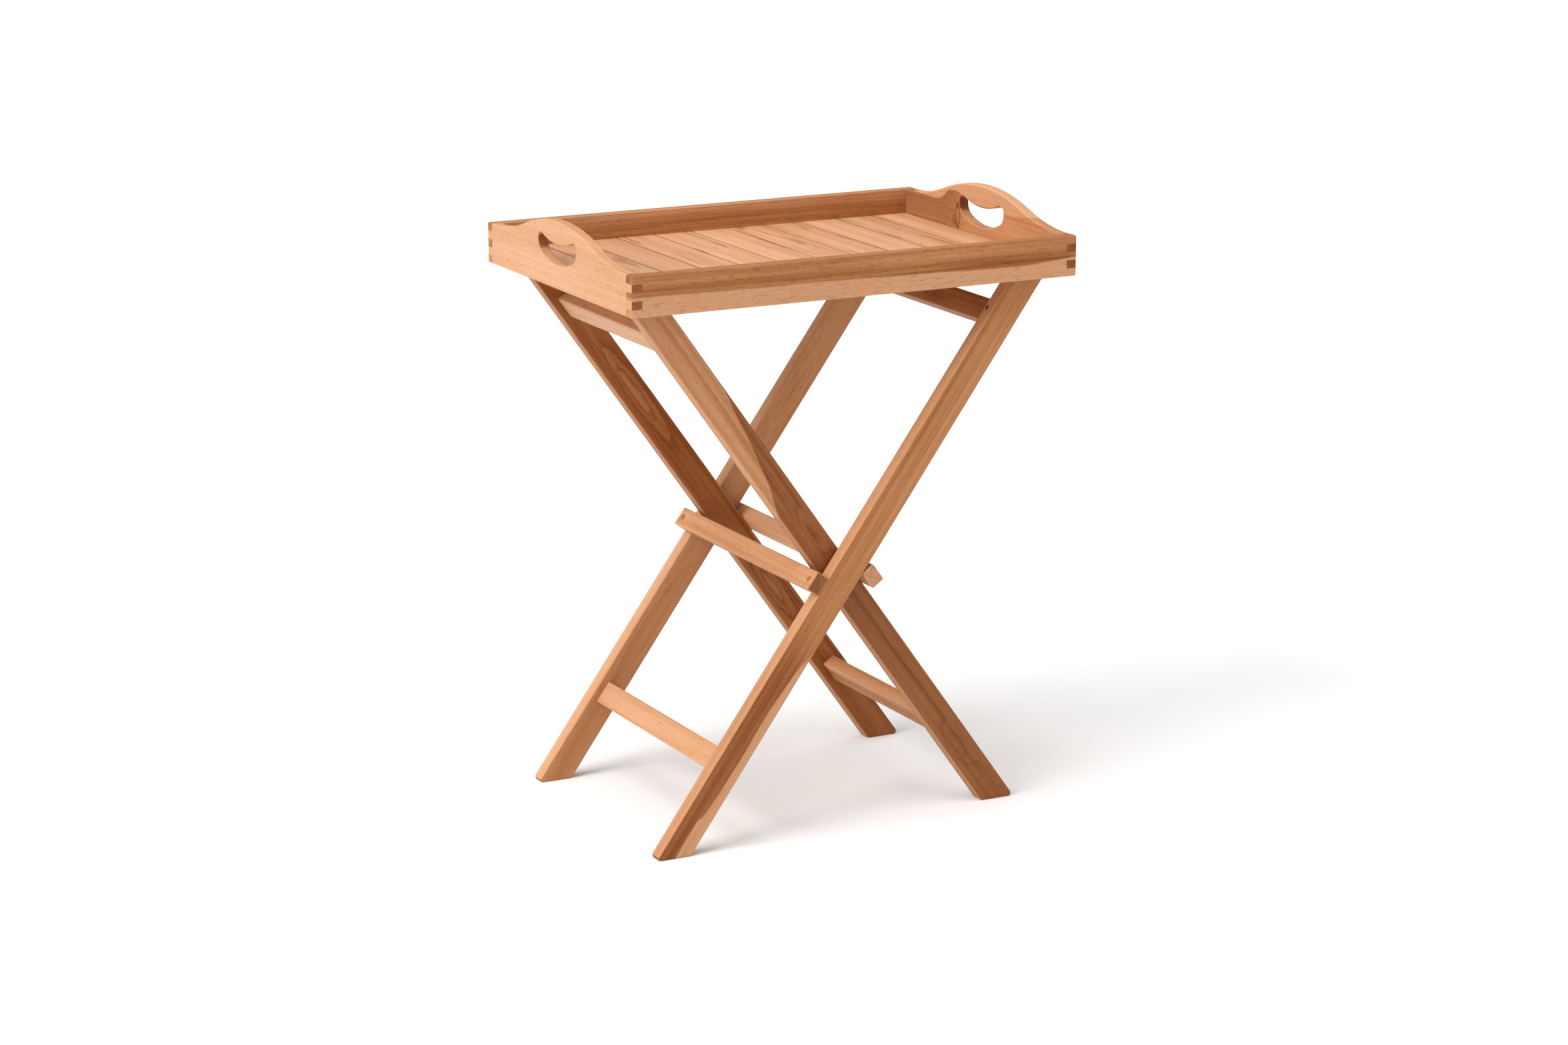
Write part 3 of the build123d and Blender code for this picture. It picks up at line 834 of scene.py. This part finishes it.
@dataclass
class BattenScrews:
    """Countersunk screws up through the battens into every slat."""

    count: int = 11
    head_r: float = 0.0032
    shank_r: float = 0.0016
    cross: float = 0.0008
    cross_depth: float = 0.0011
    point_gap: float = 0.0002
    node: str = "tray_batten_screws"

    def tree(self) -> Tree:
        """Builds the tree that sets the screws.

        Returns:
            The Geometry Nodes tree.
        """
        w, i, out = open_group(
            "batten screws",
            "GeometryNodeTree",
            [
                ("Count", WHOLE, 11), ("Span", NUMBER, 0.5), ("Rows Apart", NUMBER, 0.25),
                ("Head Radius", NUMBER, 0.003), ("Shank Radius", NUMBER, 0.0015),
                ("Length", NUMBER, 0.014), ("Cross", NUMBER, 0.0008), ("Cross Depth", NUMBER, 0.001),
                ("Middle", PLACE, None), ("Finish", MATTER, None),
            ],
            [("Geometry", SHAPE)],
        )
        sheet = w.add(
            "GeometryNodeMeshGrid",
            {"Size X": i["Span"], "Size Y": i["Rows Apart"], "Vertices X": i["Count"], "Vertices Y": 2},
        )
        inputs = {"Geometry": sheet.outputs["Mesh"], "Offset": i["Middle"]}
        rows = w.add("GeometryNodeSetPosition", inputs)
        thin, wide = i["Shank Radius"], i["Head Radius"]
        rise = w.math("SUBTRACT", wide, thin)
        head = w.add(
            "GeometryNodeMeshCone",
            {"Vertices": 20, "Radius Top": thin, "Radius Bottom": wide, "Depth": rise},
        )
        inputs = {"Vertices": 12, "Radius": thin, "Depth": i["Length"]}
        shank = w.add("GeometryNodeMeshCylinder", inputs)
        lift = w.join(0.0, 0.0, w.math("MULTIPLY", i["Length"], 0.5))
        up = w.add("GeometryNodeTransform", {"Geometry": shank.outputs["Mesh"], "Translation": lift})
        # a hair smaller than the head's top, so that the union has no faces that coincide
        inputs = {"Translation": (0.0, 0.0, 0.0001), "Scale": (0.995, 0.995, 0.99)}
        up_inset = w.add("GeometryNodeTransform", inputs | {"Geometry": up.outputs[0]})
        whole = w.add("GeometryNodeMeshBoolean", operation="UNION")
        w.tree.links.new(head.outputs["Mesh"], whole.inputs["Mesh 2"])
        w.tree.links.new(up_inset.outputs[0], whole.inputs["Mesh 2"])
        arm = w.math("MULTIPLY", wide, 1.2)
        deep = w.math("MULTIPLY", i["Cross Depth"], 2.0)
        carved = w.add("GeometryNodeMeshBoolean", operation="DIFFERENCE")
        w.feed(carved.inputs["Mesh 1"], whole.outputs["Mesh"])
        for size in (w.join(arm, i["Cross"], deep), w.join(i["Cross"], arm, deep)):
            bar = w.add("GeometryNodeMeshCube", {"Size": size})
            w.tree.links.new(bar.outputs["Mesh"], carved.inputs["Mesh 2"])
        inputs = {"Points": rows.outputs[0], "Instance": carved.outputs["Mesh"]}
        set_in = w.add("GeometryNodeInstanceOnPoints", inputs)
        real = w.add("GeometryNodeRealizeInstances", {"Geometry": set_in.outputs[0]})
        done = w.add("GeometryNodeSetMaterial", {"Geometry": real.outputs[0], "Material": i["Finish"]})
        w.feed(out.inputs["Geometry"], done.outputs[0])
        return w.tree

    def build(self, dresser: "Dresser") -> bpy.types.Object:
        """Sets the screws in the place of the ones they stand for.

        Args:
            dresser: makes the brass.

        Returns:
            The screws.
        """
        low, high = (Vector(corner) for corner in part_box(self.node))
        middle = (low + high) / 2
        values = {
            "Count": self.count, "Span": high.x - low.x - 2 * self.head_r,
            "Rows Apart": high.y - low.y - 2 * self.head_r, "Head Radius": self.head_r,
            "Shank Radius": self.shank_r, "Length": high.z - low.z - self.point_gap,
            "Cross": self.cross, "Cross Depth": self.cross_depth,
            "Middle": (middle.x, middle.y, low.z),
            "Finish": dresser.metal("batten_screw_brass", SCREW_BRASS),
        }
        piece = grow("tray_screws", self.tree(), values)
        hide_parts(self.node)
        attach(piece, "tray")
        log.info("tray_screws set")
        return piece


# ---- sub-assemblies ------------------------------------------------------------------


def centre_of(node: str) -> Vector:
    """Finds the middle of a node's box."""
    low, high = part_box(node)
    return (Vector(low) + Vector(high)) / 2


@dataclass
class Frame:
    """One cross-legged frame: two legs, two rails and a stop bar."""

    name: str
    leg_run: Run
    rail_run: Run
    dowel_run: Run
    crossing: Vector
    leg_half: Triple = (0.42, 0.010, 0.01925)
    rail_half: Triple = (0.162, 0.015, 0.009)
    bar_half: Triple = (0.182, 0.0125, 0.009)
    woods: dict[str, Teak] = field(default_factory=dict)

    def dress(self, dresser: Dresser) -> None:
        """Gives every piece of the frame its own cut of teak.

        Args:
            dresser: makes the materials.
        """
        for part, wood in self.woods.items():
            node = f"{self.name}_{part}"
            middle = centre_of(node)
            if "dowels" in part or "plugs" in part:
                run, half = self.dowel_run, NO_ARRIS
            elif "stop_bar" in part:
                run, half = self.rail_run, self.bar_half
            elif "leg" in part:
                run, half = self.leg_run, self.leg_half
                middle = Vector((self.crossing.x, middle.y, self.crossing.z))
            else:
                run, half = self.rail_run, self.rail_half
            material = dresser.teak(node, wood, run, middle, half)
            dresser.put(frame["nodes"][node], material)
            log.info("%s dressed", node)


@dataclass
class Pivots:
    """Pins, bushes and spacers at the crossing, and the stop bars' screws."""

    steel: tuple[str, ...] = (
        "pivot_pin_front", "pivot_pin_back", "outer_stop_bar_screws", "inner_stop_bar_screws",
    )
    brass: tuple[str, ...] = ("pivot_bushes",)
    dark: tuple[str, ...] = ("pivot_spacers",)

    def dress(self, dresser: Dresser) -> None:
        """Gives the hardware its finishes.

        Args:
            dresser: makes the materials.
        """
        for names, label, finish in (
            (self.steel, "pin_steel", PIN_STEEL),
            (self.brass, "bush_brass", SCREW_BRASS),
            (self.dark, "spacer_plastic", SPACER),
        ):
            material = dresser.metal(label, finish)
            for node in names:
                dresser.put(frame["nodes"][node], material)
        log.info("pivot hardware dressed")


@dataclass
class Tray:
    """The tray: four rim boards, a slatted floor and two battens."""

    woods: dict[str, Teak] = field(default_factory=dict)
    long_half: Triple = (0.300, 0.007, 0.025)
    end_half: Triple = (0.206, 0.007, 0.041)
    batten_half: Triple = (0.284, 0.010, 0.0045)
    floor: Teak = Teak()
    slats: int = 11

    def dress(self, dresser: Dresser) -> None:
        """Gives the rim, the floor and the battens their cuts of teak.

        Args:
            dresser: makes the materials.
        """
        for node, wood in self.woods.items():
            if "handle" in node:
                run, half = Run.DEPTH, self.end_half
            elif "batten" in node:
                run, half = Run.LENGTH, self.batten_half
            else:
                run, half = Run.LENGTH, self.long_half
            dresser.put(frame["nodes"][node], dresser.teak(node, wood, run, centre_of(node), half))
            log.info("%s dressed", node)
        slats = tuple(f"tray_slat_{n:02d}" for n in range(1, self.slats + 1))
        SlatFloor(slats, wood=self.floor).build()
        BattenScrews(count=self.slats).build(dresser)


# ---- studio --------------------------------------------------------------------------


@dataclass(frozen=True)
class Sun:
    """One soft light: the way to it, its strength, and how wide it is in degrees."""

    name: str
    towards: Triple
    strength: float
    spread: float


@dataclass
class Studio:
    """Pale floor, soft light and the camera."""

    floor_half: float = 40.0
    floor_colour: Colour = (0.86, 0.86, 0.86)
    floor_roughness: float = 0.9
    floor_sheen: float = 0.1
    azimuth: float = -27.747
    elevation: float = 14.217
    roll: float = 0.138
    distance: float = 4.8421
    target: Triple = (0.00696, 0.0, 0.3492)
    lens: float = 88.9
    sensor: float = 36.0
    sight: float = 200.0
    sky: float = 0.50
    suns: tuple[Sun, ...] = (
        Sun("key", (-0.84, -0.16, 0.62), 2.35, 32.0),
        Sun("top", (-0.20, -0.12, 1.0), 1.5, 50.0),
        Sun("fill", (0.30, -0.90, 0.30), 0.30, 60.0),
    )

    def build(self) -> None:
        """Makes the floor, the lights and the camera."""
        bpy.context.scene.view_settings.view_transform = "Standard"
        self.lay_floor()
        self.light()
        self.aim()

    def lay_floor(self) -> None:
        """Lays the plain pale floor."""
        h = self.floor_half
        mesh = bpy.data.meshes.new("studio_floor")
        mesh.from_pydata([(-h, -h, 0.0), (h, -h, 0.0), (h, h, 0.0), (-h, h, 0.0)], [], [(0, 1, 2, 3)])
        floor = bpy.data.objects.new("studio_floor", mesh)
        bpy.context.scene.collection.objects.link(floor)
        material, _, shader = open_material("studio_floor")
        shader.inputs["Base Color"].default_value = (*self.floor_colour, 1.0)
        shader.inputs["Roughness"].default_value = self.floor_roughness
        shader.inputs["Specular IOR Level"].default_value = self.floor_sheen
        mesh.materials.append(material)

    def light(self) -> None:
        """Sets the sky and the soft lights."""
        world = bpy.data.worlds.new("studio")
        world.use_nodes = True
        background = world.node_tree.nodes["Background"]
        background.inputs["Color"].default_value = (1.0, 1.0, 1.0, 1.0)
        background.inputs["Strength"].default_value = self.sky
        bpy.context.scene.world = world
        for sun in self.suns:
            data = bpy.data.lights.new(sun.name, "SUN")
            data.energy = sun.strength
            data.angle = math.radians(sun.spread)
            light = bpy.data.objects.new(sun.name, data)
            light.rotation_mode = "QUATERNION"
            light.rotation_quaternion = Vector(sun.towards).to_track_quat("Z", "Y")
            bpy.context.scene.collection.objects.link(light)

    def aim(self) -> None:
        """Sets the camera up."""
        scene = bpy.context.scene
        data = bpy.data.cameras.new("camera")
        data.lens = self.lens
        data.sensor_width = self.sensor
        data.clip_end = self.sight
        camera = bpy.data.objects.new("camera", data)
        scene.collection.objects.link(camera)
        a, e = math.radians(self.azimuth), math.radians(self.elevation)
        back = Vector((math.sin(a) * math.cos(e), -math.cos(a) * math.cos(e), math.sin(e)))
        camera.rotation_mode = "QUATERNION"
        camera.location = Vector(self.target) + back * self.distance
        level = (-back).to_track_quat("-Z", "Y")
        camera.rotation_quaternion = level @ Euler((0.0, 0.0, math.radians(self.roll))).to_quaternion()
        scene.camera = camera


def crossing() -> Vector:
    """Gives the point where the two frames turn on each other."""
    return Vector(next(j["pos_m"] for j in frame["joints"] if j["name"] == "stand_fold"))


def outer_frame() -> Frame:
    """Sets the outer frame's woods.

    Returns:
        The frame.
    """
    heart_line = (
        (-0.42, -0.0025), (-0.35, -0.0008), (-0.335, -0.0045), (-0.27, -0.0073), (-0.185, -0.0066),
        (-0.095, -0.0173), (-0.02, -0.03),
    )
    return Frame(
        "outer", Run.OUTER_LEG, Run.OUTER_RAIL, Run.OUTER_EDGE, crossing(),
        woods={
            "leg_front": Teak(
                seed=1.7, tone=0.55, painted_lit_flank=0.75, pith=(0, 0.035, 0.045), ring=0.008,
                streaks=0.8, bands=0.2, lines=0.4,
                heart=Boundary(heart_line, strength=0.70, soft=0.0011, fade=(-0.05, -0.17)),
                sap=Boundary(heart_line, strength=0.80, upward=False, fade=(-0.07, -0.14)),
            ),
            "leg_back": Teak(
                seed=2.9, tone=0.37, painted_lit_flank=0.85, pith=(0, 0.030, 0.004), ring=0.010, lines=0.5,
                knots=(Knot((0.19, 0.0, 0.002), (0.050, 0.06, 0.010), 0.018, 0.0, 0.0),),
            ),
            "top_rail": Teak(
                seed=3.3, tone=0.62, pith=(0, 0.01, -0.03),
                knots=(Knot((-0.03, 0.002, -0.009), (0.026, 0.008, 0.04), 0.008, 0.45),),
            ),
            "lower_rail": Teak(seed=4.1, tone=0.16, bands=0.35, lines=0.35),
            "stop_bar": Teak(
                seed=5.6, tone=0.22, bands=0.35, lines=0.4,
                knots=(
                    Knot((0.168, 0.002, 0.009), (0.011, 0.006, 0.03), 0.005, 0.15, 0.30),
                    Knot((0.152, -0.008, 0.009), (0.006, 0.003, 0.03), 0.003, 0.30, 0.40),
                ),
            ),
            "stop_bar_plugs": Teak(seed=6.2, tone=0.1, tint=(1.35, 1.55, 1.5)),
            "rail_dowels": Teak(seed=7.4, tone=0.55),
        },
    )


def inner_frame() -> Frame:
    """Sets the inner frame's woods.

    Returns:
        The frame.
    """
    heart_line = (
        (-0.42, 0.032), (0.08, 0.026), (0.11, 0.0185), (0.15, 0.006), (0.20, -0.004), (0.25, -0.012),
        (0.30, -0.0193), (0.44, -0.035),
    )
    return Frame(
        "inner", Run.INNER_LEG, Run.INNER_RAIL, Run.INNER_EDGE, crossing(),
        woods={
            "leg_front": Teak(
                seed=11.2, tone=0.35, painted_lit_flank=0.6, pith=(0, 0.028, 0.012), ring=0.008,
                streaks=0.65, lines=0.7,
                heart=Boundary(heart_line, strength=0.80, upward=False, soft=0.001),
                knots=(
                    Knot((0.062, 0.0, -0.003), (0.034, 0.04, 0.008), 0.016, 0.0, 0.0),
                    Knot((-0.012, 0.0, 0.004), (0.018, 0.04, 0.006), 0.010, 0.0, 0.4),
                    Knot((-0.30, 0.0, 0.003), (0.030, 0.04, 0.009), 0.014, 0.0, 0.3),
                ),
            ),
            "leg_back": Teak(
                seed=12.5, tone=0.84, painted_lit_flank=0.6, pith=(0, 0.032, 0.006), ring=0.009,
                bands=0.55, lines=0.8,
                knots=(
                    Knot((0.22, 0.0, 0.0), (0.085, 0.05, 0.010), 0.016, 0.0, 0.0),
                    Knot((-0.12, 0.0, 0.003), (0.060, 0.05, 0.009), 0.014, 0.0, 0.0),
                ),
            ),
            "top_rail": Teak(seed=13.9, tone=0.02, bands=0.3),
            "lower_rail": Teak(seed=14.3, tone=0.50, bands=0.4),
            "stop_bar": Teak(seed=15.8, tone=0.08, bands=0.4, ends=0.35),
            "stop_bar_plugs": Teak(seed=16.4, tone=0.1, tint=(1.35, 1.55, 1.5)),
            "rail_dowels": Teak(seed=17.1, tone=0.55),
        },
    )


def tray() -> Tray:
    """Sets the tray's woods.

    Returns:
        The tray.
    """
    front_line = (
        (-0.302, -0.001), (-0.20, -0.002), (0.0, -0.003), (0.10, -0.0045),
        (0.20, -0.0068), (0.25, -0.0048), (0.302, -0.0005),
    )
    back_line = ((-0.302, -0.011), (0.0, -0.009), (0.302, -0.013))
    crest_line = (
        (-0.208, 0.0165), (-0.134, 0.018), (-0.089, 0.015), (-0.055, 0.013), (-0.02, 0.015),
        (0.028, 0.017), (0.049, 0.022), (0.063, 0.0255), (0.091, 0.017), (0.120, 0.009),
        (0.208, 0.0125),
    )
    woods = {
        "tray_front_board": Teak(
            seed=21.3, tone=0.58, pith=(0, 0.040, 0.055), ring=0.0065,
            bands=0.4, streaks=0.95, pores=1.0, ends=0.30,
            sap=Boundary(front_line, strength=0.95, upward=False, soft=0.0008),
        ),
        "tray_back_board": Teak(
            seed=22.8, tone=0.46, pith=(0, 0.050, 0.06), ring=0.007,
            bands=0.40, streaks=0.9, pores=0.9, ends=0.40,
            sap=Boundary(back_line, strength=0.80, upward=False, soft=0.001),
        ),
        "tray_left_handle_board": Teak(
            seed=23.4, tone=0.13, pith=(0, 0.06, -0.05), ring=0.009,
            bands=0.25, lines=0.28, streaks=0.4,
        ),
        "tray_right_handle_board": Teak(
            seed=24.9, tone=0.34, pith=(0, 0.05, -0.06), ring=0.008, bands=0.3, lines=0.4,
            sap=Boundary(crest_line, strength=0.96, soft=0.0007, ragged=0.0015),
            heart=Boundary(crest_line, strength=0.55, upward=False, fade=(0.02, 0.09)),
            knots=(
                Knot((0.058, 0.0, -0.006), (0.013, 0.08, 0.034), 0.014, 0.0, 0.75),
                Knot((0.066, 0.0, -0.012), (0.010, 0.08, 0.014), 0.006, 0.30, 0.55),
            ),
        ),
        "tray_batten_front": Teak(seed=25.1, tone=0.45),
        "tray_batten_back": Teak(seed=26.7, tone=0.40),
    }
    floor = Teak(tone=0.10, bands=0.30, lines=0.22, wobble=0.024, streaks=0.6)
    return Tray(woods=woods, floor=floor)


def main() -> None:
    """Dresses the whole table and sets the studio."""
    logging.basicConfig(level=logging.INFO, format="%(message)s")
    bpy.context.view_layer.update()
    Studio().build()
    dresser = Dresser()
    for assembly in (outer_frame(), inner_frame(), tray(), Pivots()):
        assembly.dress(dresser)


if __name__ == "__main__":
    main()
